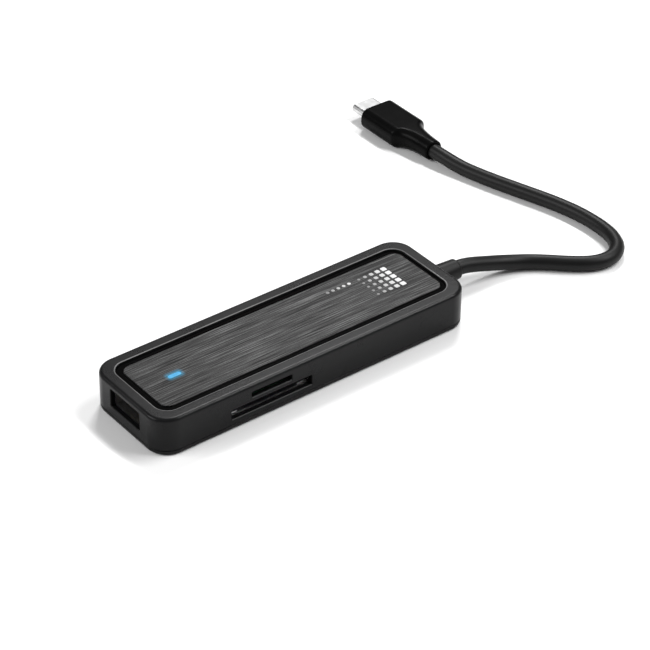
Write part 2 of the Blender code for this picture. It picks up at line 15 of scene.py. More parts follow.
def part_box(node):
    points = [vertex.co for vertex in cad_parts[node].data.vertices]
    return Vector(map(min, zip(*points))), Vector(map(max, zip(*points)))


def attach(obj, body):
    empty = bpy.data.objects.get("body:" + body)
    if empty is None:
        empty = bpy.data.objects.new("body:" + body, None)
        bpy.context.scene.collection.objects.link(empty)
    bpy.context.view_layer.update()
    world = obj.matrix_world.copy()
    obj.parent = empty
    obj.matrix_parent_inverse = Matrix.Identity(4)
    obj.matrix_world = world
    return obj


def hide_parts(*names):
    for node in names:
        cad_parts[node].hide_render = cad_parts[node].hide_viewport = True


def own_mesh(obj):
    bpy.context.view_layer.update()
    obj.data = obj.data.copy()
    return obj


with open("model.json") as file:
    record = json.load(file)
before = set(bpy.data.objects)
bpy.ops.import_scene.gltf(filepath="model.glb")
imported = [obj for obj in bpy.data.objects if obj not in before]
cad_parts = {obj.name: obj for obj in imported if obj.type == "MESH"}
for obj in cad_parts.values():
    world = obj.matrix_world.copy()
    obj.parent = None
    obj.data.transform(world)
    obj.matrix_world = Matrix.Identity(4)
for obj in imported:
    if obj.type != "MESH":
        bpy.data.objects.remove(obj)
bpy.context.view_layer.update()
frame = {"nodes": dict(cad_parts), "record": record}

MM = 0.001

# Camera and light
AIM = Vector((17.99, 6.45, 0.0)) * MM
CAMERA_AZIMUTH = -37.883
CAMERA_ELEVATION = 35.333
CAMERA_ROLL = 0.586
CAMERA_DISTANCE = 680.3 * MM
CAMERA_LENS = 144.28

# Case
WALL = 1.3 * MM
CORNER = 6.0 * MM
EDGE_ROUND = 1.0 * MM
BASE_ROUND = 0.8 * MM
RECESS_CORNER = 4.0 * MM
RECESS_EDGE = (0.28 * MM, 0.09 * MM)
DECK_THICKNESS = 0.45 * MM
PANEL_CORNER = 2.6 * MM
PANEL_CHAMFER = 0.12 * MM
MOUTH_CHAMFER = 0.18 * MM
TRIM_GAP = 0.1 * MM
LIGHT_SPILL = 1.9 * MM

# Ports and sockets
USB_A_WINDOW = (12.6 * MM, 5.4 * MM)
USB_A_CORNER = 0.5 * MM
USB_C_WINDOW = (9.14 * MM, 3.4 * MM)
USB_C_CORNER = 1.6 * MM
CARD_CORNER = 0.15 * MM
SD_WINDOW = (24.8 * MM, 3.1 * MM, 5.9 * MM)
MICROSD_WINDOW = (12.4 * MM, 7.2 * MM, 8.8 * MM)
CONTACTS_ASIDE = 0.45 * MM
SHEET = 0.3 * MM
THIN_SHEET = 0.2 * MM

# Cable
CABLE_RADIUS = 2.1 * MM
ROUTE = (
    (0.0573, 0.0, 0.0055),
    (0.0595, -0.0001, 0.00535),
    (0.0626, -0.0006, 0.00485),
    (0.0662, -0.0013, 0.00405),
    (0.0702, -0.0022, 0.0032),
    (0.074, -0.0035, 0.00255),
    (0.0773, -0.0051, 0.0022),
    (0.0802, -0.0072, 0.00212),
    (0.0828, -0.0095, 0.00212),
    (0.0854, -0.0119, 0.00212),
    (0.0882, -0.0142, 0.00212),
    (0.0914, -0.0162, 0.00212),
    (0.095, -0.0172, 0.00212),
    (0.0988, -0.0167, 0.00212),
    (0.1022, -0.0141, 0.00212),
    (0.1043, -0.0098, 0.00212),
    (0.1051, -0.005, 0.00212),
    (0.1051, 0.0, 0.00212),
    (0.1047, 0.0044, 0.00212),
    (0.1039, 0.0086, 0.00212),
    (0.1029, 0.0126, 0.00212),
    (0.1017, 0.0166, 0.00212),
    (0.1004, 0.0206, 0.00212),
    (0.0991, 0.0246, 0.00212),
    (0.0978, 0.0286, 0.00212),
    (0.0966, 0.0326, 0.00212),
    (0.0955, 0.0366, 0.00212),
    (0.0945, 0.0406, 0.0022),
    (0.0936, 0.0444, 0.0026),
    (0.0929, 0.0482, 0.0031),
    (0.0926, 0.0522, 0.00327),
)


# Materials


class Finish:
    """A material's nodes. Each call of add makes one node and joins it to the nodes that its inputs name."""

    def __init__(self, name, **settings):
        self.material = bpy.data.materials.new(name)
        self.material.use_nodes = True
        self.tree = self.material.node_tree
        self.shader = self.tree.nodes["Principled BSDF"]
        for socket, value in settings.items():
            self.set(socket.replace("_", " "), value)

    def set(self, socket, value):
        self.connect(self.shader.inputs[socket], value)

    def connect(self, target, value):
        if isinstance(value, bpy.types.NodeSocket):
            self.tree.links.new(value, target)
        elif target.type == "RGBA":
            target.default_value = (*value, 1.0)
        else:
            target.default_value = value

    def add(self, kind, *values, **settings):
        node = self.tree.nodes.new("ShaderNode" + kind)
        for name, value in settings.items():
            setattr(node, name, value)
        for target, value in zip(node.inputs, values):
            if value is not None:
                self.connect(target, value)
        return node

    def place(self, stretch=(1, 1, 1), turn=0.0):
        """Position in the piece's own space, in metres, multiplied by stretch."""
        where = self.add("TexCoord").outputs["Object"]
        return self.add("Mapping", where, None, (0, 0, math.radians(turn)), stretch).outputs["Vector"]

    def noise(self, size, detail=3.0, stretch=(1, 1, 1), turn=0.0, rough=0.5):
        """Noise whose blobs are about size metres across before they are stretched."""
        where = self.place(stretch, turn)
        return self.add("TexNoise", where, None, 1 / size, detail, rough).outputs["Fac"]

    def math(self, operation, *values):
        return self.add("Math", *values, operation=operation).outputs["Value"]

    def ramp(self, factor, *stops):
        """Colours or greys at (place, value) stops along factor."""
        node = self.add("ValToRGB", factor)
        elements = node.color_ramp.elements
        while len(elements) < len(stops):
            elements.new(0.5)
        for element, (place, value) in zip(elements, stops):
            element.position = place
            element.color = (*value, 1.0) if hasattr(value, "__len__") else (value, value, value, 1.0)
        return node.outputs["Color"]

    def level(self, factor, low, high):
        """factor from 0 to 1 turned into a number from low to high."""
        return self.add("MapRange", factor, 0.0, 1.0, low, high).outputs["Result"]

    def mix(self, factor, first, second, blend="MIX"):
        node = self.add("Mix", data_type="RGBA", blend_type=blend)
        colours = [socket for socket in node.inputs if socket.type == "RGBA"]
        self.connect(node.inputs[0], factor)
        self.connect(colours[0], first)
        self.connect(colours[1], second)
        return next(socket for socket in node.outputs if socket.type == "RGBA")

    def bump(self, height, depth, strength=1.0):
        node = self.add("Bump")
        node.inputs["Strength"].default_value = strength
        node.inputs["Distance"].default_value = depth
        self.tree.links.new(height, node.inputs["Height"])
        return node.outputs["Normal"]


def grey(value):
    return (value, value, value)


def case_plastic():
    """Charcoal moulding with a fine spark-eroded grain, a little cloudy where hands have polished it."""
    finish = Finish("case_plastic", Specular_IOR_Level=0.115)
    cloud = finish.noise(9 * MM, 3)
    grain = finish.noise(0.16 * MM, 4, rough=0.62)
    speck = finish.noise(0.07 * MM, 2)
    tone = finish.ramp(cloud, (0.3, (0.0072, 0.0072, 0.0075)), (0.7, (0.0090, 0.0090, 0.0093)))
    shade = finish.ramp(speck, (0.3, 0.86), (0.7, 1.12))
    finish.set("Base Color", finish.mix(1.0, tone, shade, "MULTIPLY"))
    polish = finish.math("ADD", finish.math("MULTIPLY", cloud, 0.6), finish.math("MULTIPLY", grain, 0.4))
    finish.set("Roughness", finish.level(polish, 0.23, 0.33))
    finish.set("Normal", finish.bump(grain, 0.012 * MM, 0.55))
    return finish.material


def painted_highlight_edge():
    """The recess's chamfer, given a much lighter base colour as a painted highlight, so that it draws a fine
    line round the trim.
    """
    finish = Finish("painted_highlight_edge", Specular_IOR_Level=0.35)
    # Painted highlight: this base colour is far lighter than the case plastic around it.
    finish.set("Base Color", finish.ramp(finish.noise(4 * MM, 2), (0.3, 0.075), (0.7, 0.11)))
    finish.set("Roughness", finish.level(finish.noise(0.4 * MM, 3), 0.3, 0.45))
    return finish.material


def gloss_trim():
    """Piano black, with faint orange peel and hairline scratches."""
    finish = Finish("gloss_trim", Specular_IOR_Level=0.06)
    dust = finish.noise(1.2 * MM, 4, rough=0.7)
    finish.set("Base Color", finish.ramp(dust, (0.35, 0.0012), (0.75, 0.0024)))
    hairline = finish.noise(0.25 * MM, 2, stretch=(0.06, 1, 1), turn=24)
    finish.set("Roughness", finish.level(hairline, 0.06, 0.13))
    finish.set("Normal", finish.bump(finish.noise(2.5 * MM, 2), 0.01 * MM, 0.25))
    return finish.material


def brushed_nodes(finish):
    """Long grooves along X at three widths, and a faint rib across them. Returns (streaks, rib, height)."""
    broad = finish.noise(0.55 * MM, 2, stretch=(0.014, 1, 0.1))
    middle = finish.noise(0.27 * MM, 3, stretch=(0.010, 1, 0.1), rough=0.65)
    fine = finish.noise(0.12 * MM, 2, stretch=(0.014, 1, 0.1))
    rib = finish.noise(0.17 * MM, 1, stretch=(1, 0.35, 0.1), turn=12)
    streaks = finish.math("ADD", finish.math("MULTIPLY", broad, 0.12), finish.math("MULTIPLY", middle, 0.50))
    streaks = finish.math("ADD", streaks, finish.math("MULTIPLY", fine, 0.38))
    height = finish.math("ADD", finish.math("MULTIPLY", middle, 0.5), finish.math("MULTIPLY", fine, 0.5))
    return streaks, rib, height


def panel_metal(window):
    """Dark anodised aluminium brushed along X. The status light spills a soft glow on it round its window."""
    finish = Finish("panel_metal", Metallic=1.0)
    streaks, rib, height = brushed_nodes(finish)
    tone = finish.ramp(streaks, (0.39, 0.006), (0.47, 0.026), (0.53, 0.052), (0.61, 0.125))
    shade = finish.ramp(rib, (0.3, 0.84), (0.7, 1.14))
    finish.set("Base Color", finish.mix(1.0, tone, shade, "MULTIPLY"))
    finish.set("Roughness", finish.level(streaks, 0.46, 0.64))
    finish.set("Normal", finish.bump(height, 0.010 * MM, 0.45))
    low, high = window
    middle = (low + high) / 2
    where = finish.add("TexCoord").outputs["Object"]
    offset = finish.add("VectorMath", where, middle, operation="SUBTRACT").outputs[0]
    parts = finish.add("SeparateXYZ", offset)
    outside = []
    for axis in range(2):
        half = (high - low)[axis] / 2
        beyond = finish.math("SUBTRACT", finish.math("ABSOLUTE", parts.outputs[axis]), half * 0.8)
        outside.append(finish.math("MAXIMUM", beyond, 0.0))
    squares = [finish.math("POWER", beyond, 2.0) for beyond in outside]
    away = finish.math("SQRT", finish.math("ADD", *squares))
    fade = finish.add(
        "MapRange", away, 0.0, LIGHT_SPILL, 1.0, 0.0, interpolation_type="SMOOTHERSTEP"
    ).outputs["Result"]
    finish.set("Emission Color", (0.03, 0.48, 0.80))
    finish.set("Emission Strength", finish.math("MULTIPLY", finish.math("POWER", fade, 1.6), 0.34))
    return finish.material


def blue_light():
    """A clear window lit from below, its glow mottled at random."""
    finish = Finish("blue_light", Base_Color=(0.01, 0.05, 0.08), Roughness=0.25, Specular_IOR_Level=0.2)
    mottle = finish.noise(1.1 * MM, 2)
    glow = finish.ramp(mottle, (0.3, (0.060, 0.35, 0.66)), (0.7, (0.085, 0.43, 0.76)))
    finish.set("Emission Color", glow)
    finish.set("Emission Strength", 1.0)
    return finish.material


def printed_ink(name, dim_x, bright_x, dim, bright):
    """Silvery ink that fades from bright_x to dim_x, worn a little where the grooves under it stand up."""
    finish = Finish(name, Roughness=0.55, Specular_IOR_Level=0.3)
    where = finish.add("TexCoord").outputs["Object"]
    along = finish.add("SeparateXYZ", where).outputs["X"]
    fade = finish.add("MapRange", along, dim_x, bright_x, 0.0, 1.0).outputs["Result"]
    ink = finish.ramp(fade, (0.0, dim), (1.0, bright))
    grooves = finish.ramp(finish.noise(0.14 * MM, 2, stretch=(0.05, 1, 0.1)), (0.3, 0.88), (0.7, 1.0))
    finish.set("Base Color", finish.mix(1.0, ink, grooves, "MULTIPLY"))
    return finish.material


def sheet_metal(name, colour, low=0.22, high=0.42):
    """Rolled and plated sheet: fine rolling lines, and cloudy patches in its polish."""
    finish = Finish(name, Metallic=1.0)
    lines = finish.noise(0.12 * MM, 3, stretch=(1, 0.08, 1))
    patches = finish.noise(2.2 * MM, 3)
    dark, light = (tuple(channel * share for channel in colour) for share in (0.82, 1.08))
    finish.set("Base Color", finish.ramp(patches, (0.3, dark), (0.7, light)))
    finish.set("Roughness", finish.level(lines, low, high))
    finish.set("Normal", finish.bump(lines, 0.004 * MM, 0.4))
    return finish.material


def moulded(name, colour, low=0.42, high=0.6, grain=0.2 * MM, depth=0.008 * MM, specular=0.5):
    """A plain moulding with slight flow marks and a fine surface grain."""
    finish = Finish(name, Specular_IOR_Level=specular)
    flow = finish.noise(3 * MM, 3)
    fine = finish.noise(grain, 3)
    dark, light = (tuple(channel * share for channel in colour) for share in (0.84, 1.16))
    finish.set("Base Color", finish.ramp(flow, (0.3, dark), (0.7, light)))
    finish.set("Roughness", finish.level(fine, low, high))
    finish.set("Normal", finish.bump(fine, depth, 0.5))
    return finish.material


def circuit_board():
    """Green solder mask over copper: traces run as faint raised lines, with tinned pads and plated holes."""
    finish = Finish("circuit_board", Coat_Weight=0.3, Coat_Roughness=0.15)
    where = finish.place()
    tracks = finish.add("TexBrick", where, offset=0.37, offset_frequency=3)
    for socket, value in (("Scale", 1.0), ("Mortar Size", 0.12 * MM), ("Mortar Smooth", 0.3)):
        tracks.inputs[socket].default_value = value
    tracks.inputs["Brick Width"].default_value = 5.3 * MM
    tracks.inputs["Row Height"].default_value = 0.62 * MM
    lines = tracks.outputs["Fac"]
    mask = finish.mix(lines, (0.006, 0.060, 0.024), (0.016, 0.115, 0.050))
    holes = finish.add("TexVoronoi", where, None, 1 / (2.3 * MM)).outputs["Distance"]
    pads = finish.math("LESS_THAN", holes, 0.16)
    weave = finish.noise(0.5 * MM, 2)
    finish.set("Base Color", finish.mix(pads, mask, (0.62, 0.60, 0.55)))
    finish.set("Metallic", pads)
    finish.set("Roughness", finish.level(weave, 0.25, 0.42))
    finish.set("Normal", finish.bump(lines, 0.02 * MM, 0.6))
    return finish.material


def cable_jacket():
    """Satin elastomer: a fine skin grain, and slow drifts in its sheen along the run."""
    finish = Finish("cable_jacket", Specular_IOR_Level=0.19)
    drift = finish.noise(14 * MM, 2)
    skin = finish.noise(0.22 * MM, 4, rough=0.6)
    finish.set("Base Color", finish.ramp(drift, (0.3, grey(0.0042)), (0.7, grey(0.0058))))
    sheen = finish.math("MULTIPLY", finish.math("ADD", drift, skin), 0.5)
    finish.set("Roughness", finish.level(sheen, 0.38, 0.52))
    finish.set("Normal", finish.bump(skin, 0.004 * MM, 0.4))
    return finish.material


def floor_paper():
    finish = Finish("floor_paper", Roughness=0.9, Specular_IOR_Level=0.1)
    finish.set("Base Color", finish.ramp(finish.noise(0.4, 2), (0.3, grey(0.93)), (0.7, grey(0.95))))
    return finish.material


# Mesh work


def mesh_object(name, bm):
    bmesh.ops.recalc_face_normals(bm, faces=bm.faces)
    mesh = bpy.data.meshes.new(name)
    bm.to_mesh(mesh)
    bm.free()
    obj = bpy.data.objects.new(name, mesh)
    bpy.context.scene.collection.objects.link(obj)
    return obj


def bevel_edges(bm, chosen, offset, segments):
    if offset > 0:
        bmesh.ops.bevel(bm, geom=chosen, offset=offset, segments=segments, profile=0.5, affect="EDGES")


def upright(edge):
    a, b = (vert.co for vert in edge.verts)
    return abs(a.x - b.x) < 1e-7 and abs(a.y - b.y) < 1e-7


def level_at(edge, height):
    return all(abs(vert.co.z - height) < 1e-7 for vert in edge.verts)


TURNS = {
    "X": Matrix.Rotation(math.radians(90), 3, "Y"),
    "Y": Matrix.Rotation(math.radians(-90), 3, "X"),
    "Z": Matrix.Identity(3),
}


def block(name, low, high, axis="Z", corner=0.0, steps=8, top=0.0, bottom=0.0, edge_steps=4):
    """A box from low to high. Edges along axis are rounded to corner, its ends' edges to top and bottom."""
    low, high = Vector(low), Vector(high)
    turn = TURNS[axis]
    size = Vector([abs(side) for side in turn.inverted() @ (high - low)])
    bm = bmesh.new()
    bmesh.ops.create_cube(bm, size=1.0)
    bmesh.ops.scale(bm, vec=size, verts=bm.verts)
    bevel_edges(bm, [edge for edge in bm.edges if upright(edge)], corner, steps)
    for offset, height in ((top, size.z / 2), (bottom, -size.z / 2)):
        bevel_edges(bm, [edge for edge in bm.edges if level_at(edge, height)], offset, edge_steps)
    bmesh.ops.transform(bm, matrix=Matrix.Translation((low + high) / 2) @ turn.to_4x4(), verts=bm.verts)
    return mesh_object(name, bm)


def lathe(name, profile, sides=64):
    """A solid turned about Z from a run of (radius, height) points that starts and ends on the axis."""
    bm = bmesh.new()
    verts = [bm.verts.new((radius, 0, height)) for radius, height in profile]
    edges = [bm.edges.new(pair) for pair in zip(verts, verts[1:])]
    bmesh.ops.spin(
        bm, geom=verts + edges, cent=(0, 0, 0), axis=(0, 0, 1), angle=math.tau, steps=sides, use_merge=True
    )
    bmesh.ops.remove_doubles(bm, verts=bm.verts, dist=1e-7)
    bmesh.ops.dissolve_degenerate(bm, dist=1e-8, edges=bm.edges)
    return mesh_object(name, bm)


def rounded_ring(half_width, half_height, corner, along, per_corner=14):
    """Points round a rounded rectangle in the XZ plane, at along on Y."""
    points = []
    for quarter, (side, rise) in enumerate(((1, 1), (-1, 1), (-1, -1), (1, -1))):
        for step in range(per_corner):
            angle = math.radians(90) * (quarter + step / (per_corner - 1))
            x = side * (half_width - corner) + corner * math.cos(angle)
            z = rise * (half_height - corner) + corner * math.sin(angle)
            points.append(Vector((x, along, z)))
    return points


def loft(name, rings):
    bm = bmesh.new()
    rows = [[bm.verts.new(point) for point in ring] for ring in rings]
    for row, following in zip(rows, rows[1:]):
        for i, vert in enumerate(row):
            j = (i + 1) % len(row)
            bm.faces.new((vert, row[j], following[j], following[i]))
    bm.faces.new(rows[0])
    bm.faces.new(rows[-1])
    bmesh.ops.remove_doubles(bm, verts=bm.verts, dist=1e-7)
    return mesh_object(name, bm)


def baked(obj):
    """Applies obj's modifiers to its mesh."""
    graph = bpy.context.evaluated_depsgraph_get()
    mesh = bpy.data.meshes.new_from_object(obj.evaluated_get(graph))
    obj.modifiers.clear()
    obj.data = mesh
    return obj


def combine(obj, operation, others):
    for other in others:
        modifier = obj.modifiers.new(operation.lower(), "BOOLEAN")
        modifier.operation = operation
        modifier.object = other
        modifier.solver = "EXACT"
        modifier.material_mode = "TRANSFER"
    baked(obj)
    for other in others:
        bpy.data.objects.remove(other)
    return obj


def cut(obj, *others):
    return combine(obj, "DIFFERENCE", others)


def join(obj, *others):
    return combine(obj, "UNION", others)


def gather(name, objects):
    """One object holding separate solids, which don't touch each other."""
    bm = bmesh.new()
    for obj in objects:
        bm.from_mesh(obj.data)
        bpy.data.objects.remove(obj)
    return mesh_object(name, bm)


def moved(obj, matrix):
    obj.data.transform(matrix)
    return obj


def piece(obj, material, replaces=(), body="hub", sharp=32.0):
    """Gives a finished mesh its shading and body, and its material if it hasn't its own."""
    obj.data.shade_smooth()
    obj.data.set_sharp_from_angle(angle=math.radians(sharp))
    if material:
        obj.data.materials.clear()
        obj.data.materials.append(material)
    normals = obj.modifiers.new("normals", "WEIGHTED_NORMAL")
    normals.keep_sharp = True
    normals.weight = 90
    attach(obj, body)
    if replaces:
        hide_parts(*replaces)
    return obj


def smooth_line(route, per_span):
    """Points on a smooth curve through the route's points."""
    knots = [2 * route[0] - route[1], *route, 2 * route[-1] - route[-2]]
    line = []
    for before, start, end, after in zip(knots, knots[1:], knots[2:], knots[3:]):
        for step in range(per_span):
            t = step / per_span
            line.append(
                0.5
                * (
                    2 * start
                    + (end - before) * t
                    + (2 * before - 5 * start + 4 * end - after) * t**2
                    + (3 * start - before - 3 * end + after) * t**3
                )
            )
    return [*line, route[-1]]


def tube(name, points, radius, resolution=8):
    """A curve with a round section and filled ends."""
    data = bpy.data.curves.new(name, "CURVE")
    data.dimensions = "3D"
    data.bevel_depth = radius
    data.bevel_resolution = resolution
    data.use_fill_caps = True
    spline = data.splines.new("POLY")
    spline.points.add(len(points) - 1)
    for point, where in zip(spline.points, points):
        point.co = (*where, 1.0)
    obj = bpy.data.objects.new(name, data)
    bpy.context.scene.collection.objects.link(obj)
    return obj


def grown(box, margin):
    """A box's corners let out by margin, which is one number or one for each axis."""
    low, high = box
    by = Vector(margin) if hasattr(margin, "__len__") else Vector((margin,) * 3)
    return low - by, high + by


# Pieces


def make_camera():
    azimuth, elevation = math.radians(CAMERA_AZIMUTH), math.radians(CAMERA_ELEVATION)
    level = math.cos(elevation)
    back = Vector((math.sin(azimuth) * level, -math.cos(azimuth) * level, math.sin(elevation)))
    data = bpy.data.cameras.new("camera")
    data.lens = CAMERA_LENS
    data.clip_start = 0.01
    camera = bpy.data.objects.new("camera", data)
    bpy.context.scene.collection.objects.link(camera)
    camera.location = AIM + back * CAMERA_DISTANCE
    turn = (-back).to_track_quat("-Z", "Y") @ Quaternion((0, 0, 1), math.radians(CAMERA_ROLL))
    camera.rotation_euler = turn.to_euler()
    bpy.context.scene.camera = camera


def make_cable(jacket):
    """The free cable. It runs a little way into the strain relief and into the plug's boot."""
    relief_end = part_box("strain_relief")[1].x
    start = Vector((relief_end - 1.6 * MM, ROUTE[0][1], ROUTE[0][2]))
    end = Vector((ROUTE[-1][0], ROUTE[-1][1] + 1.8 * MM, ROUTE[-1][2]))
    line = smooth_line([start, *map(Vector, ROUTE), end], 6)
    cable = tube("cable_run", line, CABLE_RADIUS)
    cable.data.materials.append(jacket)
    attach(cable, "hub")
    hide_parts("cable")
    return cable


def case_window(name, size, corner, matrix, materials, per_corner=8):
    """A cutter for an opening with a small chamfer round its mouth. matrix puts its local +Y inwards.

    The first material goes on the chamfer, and the second on the opening's walls, where the housing passes a
    darker plastic as painted shade.
    """
    wide, tall = size[0] / 2, size[1] / 2
    rings = []
    for along, chamfer in ((-MM, MOUTH_CHAMFER), (0.0, MOUTH_CHAMFER), (MOUTH_CHAMFER, 0.0), (2 * MM, 0.0)):
        rings.append(rounded_ring(wide + chamfer, tall + chamfer, corner + chamfer, along, per_corner))
    window = loft(name, rings)
    for material in materials:
        window.data.materials.append(material)
    for face in window.data.polygons:
        face.material_index = int(face.center.y > MOUTH_CHAMFER)
    return moved(window, matrix)


def facing(direction, place):
    """Puts a port's local space at place, with its mouth (-Y) facing direction, an angle about Z from -Y."""
    return Matrix.Translation(place) @ Matrix.Rotation(math.radians(direction), 4, "Z")


def port_windows(materials):
    low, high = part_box("housing")
    front = sum(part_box("usb_a_front_shell"), Vector()) / 2
    side = sum(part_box("usb_a_side_shell"), Vector()) / 2
    small = sum(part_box("usb_c_side_shell"), Vector()) / 2
    cards = sum(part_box("sd_socket_shell"), Vector()) / 2
    at_front = facing(-90, (low.x, front.y, front.z))
    at_side = facing(180, (side.x, high.y, side.z))
    at_small = facing(180, (small.x, high.y, small.z))
    windows = [
        case_window("front_window", USB_A_WINDOW, USB_A_CORNER, at_front, materials),
        case_window("side_window", USB_A_WINDOW, USB_A_CORNER, at_side, materials),
        case_window("usb_c_window", USB_C_WINDOW, USB_C_CORNER, at_small, materials, 16),
    ]
    for name, (wide, below, above) in (("sd_window", SD_WINDOW), ("microsd_window", MICROSD_WINDOW)):
        place = (cards.x, low.y, (below + above) / 2)
        windows.append(case_window(name, (wide, above - below), CARD_CORNER, facing(0, place), materials, 4))
    return windows


def make_recess_cutter(bezel_low, bezel_high, bottom, top):
    """Cuts the recess that the trim lies in, and the chamfer round its upper edge, which carries a painted
    highlight.
    """
    middle = (bezel_low + bezel_high) / 2
    half = (bezel_high - bezel_low) / 2 + Vector((TRIM_GAP, TRIM_GAP, 0))
    rings = []
    wide, deep = RECESS_EDGE
    for height, chamfer in ((bottom, 0.0), (top - deep, 0.0), (top, wide), (top + MM, wide)):
        rings.append(rounded_ring(half.x + chamfer, half.y + chamfer, RECESS_CORNER + chamfer, height, 24))
    upright_turn = Matrix.Rotation(math.radians(90), 4, "X")
    return moved(loft("recess", rings), Matrix.Translation((middle.x, middle.y, 0)) @ upright_turn)


def make_housing(plastic, painted_shade_plastic, edge):
    low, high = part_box("housing")
    housing = block(
        "case_shell", low, high, corner=CORNER, steps=28, top=EDGE_ROUND, bottom=0.1 * MM, edge_steps=8
    )
    bezel_low, bezel_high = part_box("bezel_ring")
    deck_top = bezel_low.z - TRIM_GAP / 2
    deck_low = deck_top - DECK_THICKNESS
    wall = Vector((WALL, WALL, 0))
    cavity_high = (high.x - WALL, high.y - WALL, deck_low)
    cavity = block("cavity", low + wall - Vector((0, 0, MM)), cavity_high, corner=CORNER - WALL)
    recess = make_recess_cutter(bezel_low, bezel_high, deck_top, high.z)
    # The chamfer faces get edge, whose lighter base colour is a painted highlight.
    recess.data.materials.append(plastic)
    recess.data.materials.append(edge)
    for face in recess.data.polygons:
        face.material_index = int(high.z - RECESS_EDGE[1] < face.center.z < high.z)
    light_low, light_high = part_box("light_pipe")
    light_hole = block(
        "deck_light_hole", (light_low.x - 0.15 * MM, light_low.y - 0.15 * MM, deck_low - MM),
        (light_high.x + 0.15 * MM, light_high.y + 0.15 * MM, deck_top + MM), corner=0.6 * MM,
    )  # fmt: skip
    relief_low, relief_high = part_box("strain_relief")
    axis_z = (relief_low.z + relief_high.z) / 2
    outlet = lathe("outlet", [(0, 0), (3.35 * MM, 0), (3.35 * MM, 10 * MM), (0, 10 * MM)])
    moved(outlet, Matrix.Translation((high.x - 5 * MM, 0, axis_z)) @ TURNS["X"].to_4x4())
    housing.data.materials.append(plastic)
    # The cavity, the holes and the windows' walls get a darker plastic than the case: painted shade in the
    # openings.
    for obj in (cavity, light_hole, outlet):
        obj.data.materials.append(painted_shade_plastic)
    cut(housing, cavity, light_hole, outlet, *port_windows((plastic, painted_shade_plastic)), recess)
    piece(housing, None, ["housing"])


def make_base(plastic):
    """The base's tray, its lip inside the case and its four bosses. The catches are only in the CAD."""
    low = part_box("base_cover")[0]
    shell_low, shell_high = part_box("housing")
    top = shell_low.z - 0.15 * MM
    tray = block(
        "base_tray", (shell_low.x, shell_low.y, low.z), (shell_high.x, shell_high.y, top),
        corner=CORNER, steps=28, bottom=BASE_ROUND, top=0.1 * MM, edge_steps=6,
    )  # fmt: skip
    inset = WALL + 0.15 * MM
    lip_wall = 0.9 * MM
    lip_top = top + 1.35 * MM
    outer = Vector((inset, inset, 0))
    inner = Vector((inset + lip_wall, inset + lip_wall, 0))
    near = Vector((shell_low.x, shell_low.y, top))
    far = Vector((shell_high.x, shell_high.y, lip_top))
    sunk, raised = Vector((0, 0, 0.5 * MM)), Vector((0, 0, MM))
    lip = block("lip", near + outer - sunk, far - outer, corner=4.55 * MM)
    hollow = block("lip_hollow", near + inner, far - inner + raised, corner=3.65 * MM)
    gap = block("lip_gap", (44 * MM, -4.6 * MM, top), (47.8 * MM, 4.6 * MM, 4 * MM))
    join(tray, lip)
    cut(tray, hollow, gap)
    boss_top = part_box("main_pcb")[0].z - 0.1 * MM
    boss_root = 0.4 * MM
    boss_radius, pilot_radius = 1.8 * MM, 0.85 * MM
    boss_height, pilot_depth = boss_top - top + boss_root, 6 * MM
    for number in range(1, 5):
        screw_low, screw_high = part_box(f"pcb_screw_{number}")
        middle = (screw_low + screw_high) / 2
        boss = lathe("boss", [(0, 0), (boss_radius, 0), (boss_radius, boss_height), (0, boss_height)], 32)
        moved(boss, Matrix.Translation((middle.x, middle.y, top - boss_root)))
        pilot = lathe("pilot", [(0, 0), (pilot_radius, 0), (pilot_radius, pilot_depth), (0, pilot_depth)], 24)
        moved(pilot, Matrix.Translation((middle.x, middle.y, 2 * MM)))
        join(tray, boss)
        cut(tray, pilot)
    piece(tray, plastic, ["base_cover"])


def make_trim(gloss, metal, glow):
    low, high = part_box("bezel_ring")
    panel_low, panel_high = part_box("top_panel")
    ring = block(
        "gloss_band", low, high, corner=RECESS_CORNER - TRIM_GAP, steps=24, top=0.05 * MM, edge_steps=2
    )
    opening_low, opening_high = grown((panel_low, panel_high), (TRIM_GAP, TRIM_GAP, 2 * MM))
    cut(ring, block("band_opening", opening_low, opening_high, corner=PANEL_CORNER + TRIM_GAP, steps=20))
    piece(ring, gloss, ["bezel_ring"])

    panel = block(
        "brushed_panel", panel_low, panel_high, corner=PANEL_CORNER, steps=20, top=PANEL_CHAMFER, edge_steps=3
    )
    light_low, light_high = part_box("light_pipe")
    hole = Vector((0.1 * MM, 0.1 * MM, 0))
    top = Vector((light_high.x, light_high.y, panel_high.z + MM))
    cut(panel, block("panel_light_hole", light_low - hole, top + hole, corner=0.6 * MM, steps=10))
    piece(panel, metal, ["top_panel"])

    lens = block(
        "light_window", (light_low.x, light_low.y, panel_low.z - 0.4 * MM), light_high,
        corner=0.55 * MM, steps=10, top=0.06 * MM, edge_steps=3,
    )  # fmt: skip
    leg_low = (light_low.x + 0.4 * MM, -0.6 * MM, light_low.z)
    leg_high = (light_low.x + 2.2 * MM, 0.6 * MM, 9.9 * MM)
    join(lens, block("light_leg", leg_low, leg_high))
    piece(lens, glow, ["light_pipe"])


def make_mark(panel_high):
    """Printed on the panel: a patch of dots that shrink and fade away from the cable, and a dotted line."""
    base = panel_high.z
    thick = 0.015 * MM
    patch = []
    for column in range(5):
        half = (0.38 + 0.09 * column) * MM
        for row in range(5):
            x, y = (28.2 + 2.05 * column) * MM, (-2.75 + 2.05 * row) * MM
            low, high = (x - half, y - half, base), (x + half, y + half, base + thick)
            patch.append(block("dot", low, high, corner=0.3 * MM, steps=5))
    piece(gather("printed_patch", patch), printed_ink("patch_ink", 27.5 * MM, 37 * MM, 0.15, 0.72))
    line = []
    for number in range(5):
        x, y, half = (18.0 + 1.75 * number) * MM, 5.5 * MM, 0.48 * MM
        low, high = (x - half, y - half, base), (x + half, y + half, base + thick)
        line.append(block("dot", low, high, corner=0.46 * MM, steps=8))
    piece(gather("printed_line", line), printed_ink("line_ink", 17.5 * MM, 25.5 * MM, 0.15, 0.62))


